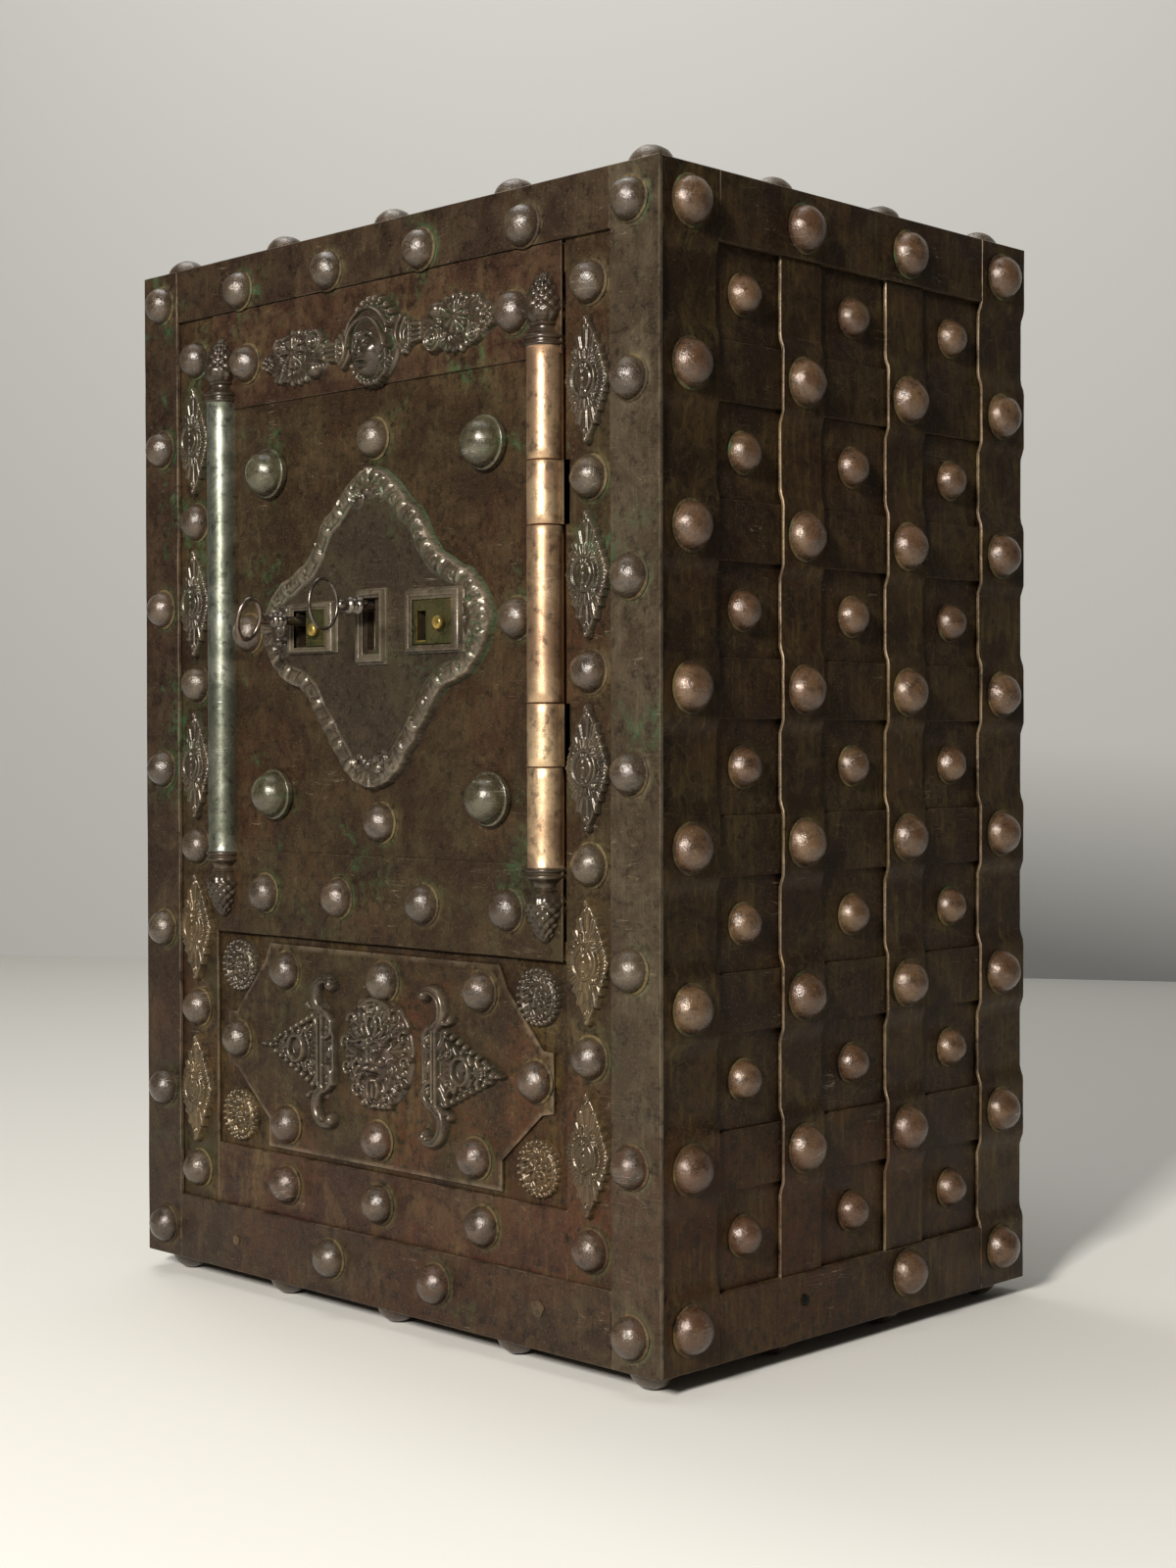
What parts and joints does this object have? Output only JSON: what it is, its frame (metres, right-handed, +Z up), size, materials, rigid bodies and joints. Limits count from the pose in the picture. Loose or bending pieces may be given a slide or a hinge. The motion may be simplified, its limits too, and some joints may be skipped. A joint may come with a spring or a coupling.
{
  "type": "iron strongbox",
  "caption": "Timber strongbox clad in woven, nailed iron straps, with an ornamented door that hangs on its right column, turning keys and knobs, and sliding keyhole covers.",
  "frame": {"origin": "on the floor, under the middle of the overall box that the chest fills with its keys in the door", "axes": "+Z up, -Y out of the front, +X to the right as seen from the front"},
  "size_m": [0.5156, 0.4242, 0.705],
  "materials": {
    "strap_iron": "worn patina",
    "sheet_iron": "worn patina",
    "ornament_iron": "dull with gold-brown dirt",
    "turned_steel": "polished, stained",
    "lock_steel": "filed",
    "cover_brass": "green patina",
    "timber": "raw old oak"
  },
  "bodies": {
    "carcass": {"timber_left": "timber", "timber_right": "timber", "timber_top": "timber", "timber_bottom": "timber", "timber_back": "timber", "front_frame": "timber", "front_sheet": "sheet_iron", "left_side_strip": "strap_iron", "right_side_strip": "strap_iron", "bottom_strip": "strap_iron", "lower_panel": "ornament_iron", "left_corner_strap": "strap_iron", "right_corner_strap": "strap_iron", "top_strap": "strap_iron", "bottom_strap": "strap_iron", "right_sheet": "sheet_iron", "right_strap_1": "strap_iron", "right_strap_2": "strap_iron", "right_strap_3": "strap_iron", "right_strap_4": "strap_iron", "left_sheet": "sheet_iron", "left_strap_1": "strap_iron", "left_strap_2": "strap_iron", "left_strap_3": "strap_iron", "left_strap_4": "strap_iron", "back_sheet": "sheet_iron", "back_strap_1": "strap_iron", "back_strap_2": "strap_iron", "back_strap_3": "strap_iron", "back_strap_4": "strap_iron", "back_strap_5": "strap_iron", "top_cladding": "strap_iron", "floor_cladding": "strap_iron", "liner": "sheet_iron", "shelf": "timber", "strike_plate": "lock_steel", "frame_knuckle_lower": "turned_steel", "frame_knuckle_upper": "turned_steel", "hinge_pin": "lock_steel"},
    "door": {"door_sheet": "sheet_iron", "door_core": "timber", "door_top_band": "ornament_iron", "door_nail_band": "strap_iron", "door_back_plate": "sheet_iron", "lock_case": "lock_steel", "escutcheon": "ornament_iron", "left_column": "turned_steel", "door_knuckle_bottom": "turned_steel", "door_knuckle_middle": "turned_steel", "door_knuckle_top": "turned_steel"},
    "bolt_carriage": {"bolt_carriage": "lock_steel"},
    "left_key": {"left_key": "turned_steel"},
    "middle_key": {"middle_key": "turned_steel"},
    "left_keyhole_cover": {"left_keyhole_cover": "cover_brass"},
    "right_keyhole_cover": {"right_keyhole_cover": "cover_brass"},
    "knob_top_left": {"knob_top_left": "turned_steel"},
    "knob_top_right": {"knob_top_right": "turned_steel"},
    "knob_bottom_left": {"knob_bottom_left": "turned_steel"},
    "knob_bottom_right": {"knob_bottom_right": "turned_steel"}
  },
  "joints": [
    {"name": "door_hinge", "type": "hinge", "parent": "carcass", "child": "door", "pos_m": [0.155, -0.15575, 0.4425], "axis": [0, 0, 1], "range_deg": [0, 110]},
    {"name": "bolt_throw", "type": "slide", "parent": "door", "child": "bolt_carriage", "axis": [-1, 0, 0], "range_m": [0, 0.022]},
    {"name": "left_key_turn", "type": "hinge", "parent": "door", "child": "left_key", "pos_m": [-0.066, -0.15635, 0.4465], "axis": [0, -1, 0], "range_deg": [0, 180]},
    {"name": "middle_key_turn", "type": "hinge", "parent": "door", "child": "middle_key", "pos_m": [0.0018, -0.15635, 0.4535], "axis": [0, -1, 0], "range_deg": [0, 180]},
    {"name": "left_cover_slide", "type": "slide", "parent": "door", "child": "left_keyhole_cover", "axis": [1, 0, 0], "range_m": [0, 0.0045]},
    {"name": "right_cover_slide", "type": "slide", "parent": "door", "child": "right_keyhole_cover", "axis": [1, 0, 0], "range_m": [0, 0.0045]},
    {"name": "knob_top_left_turn", "type": "hinge", "parent": "door", "child": "knob_top_left", "pos_m": [-0.105, -0.15635, 0.5455], "axis": [0, -1, 0], "continuous": true},
    {"name": "knob_top_right_turn", "type": "hinge", "parent": "door", "child": "knob_top_right", "pos_m": [0.104, -0.15635, 0.5465], "axis": [0, -1, 0], "continuous": true},
    {"name": "knob_bottom_left_turn", "type": "hinge", "parent": "door", "child": "knob_bottom_left", "pos_m": [-0.1, -0.15635, 0.3345], "axis": [0, -1, 0], "continuous": true},
    {"name": "knob_bottom_right_turn", "type": "hinge", "parent": "door", "child": "knob_bottom_right", "pos_m": [0.107, -0.15635, 0.3345], "axis": [0, -1, 0], "continuous": true}
  ],
  "couplings": [
    {"joint": "left_key_turn", "follows": "bolt_throw", "rad_per_m": 142.79}
  ]
}
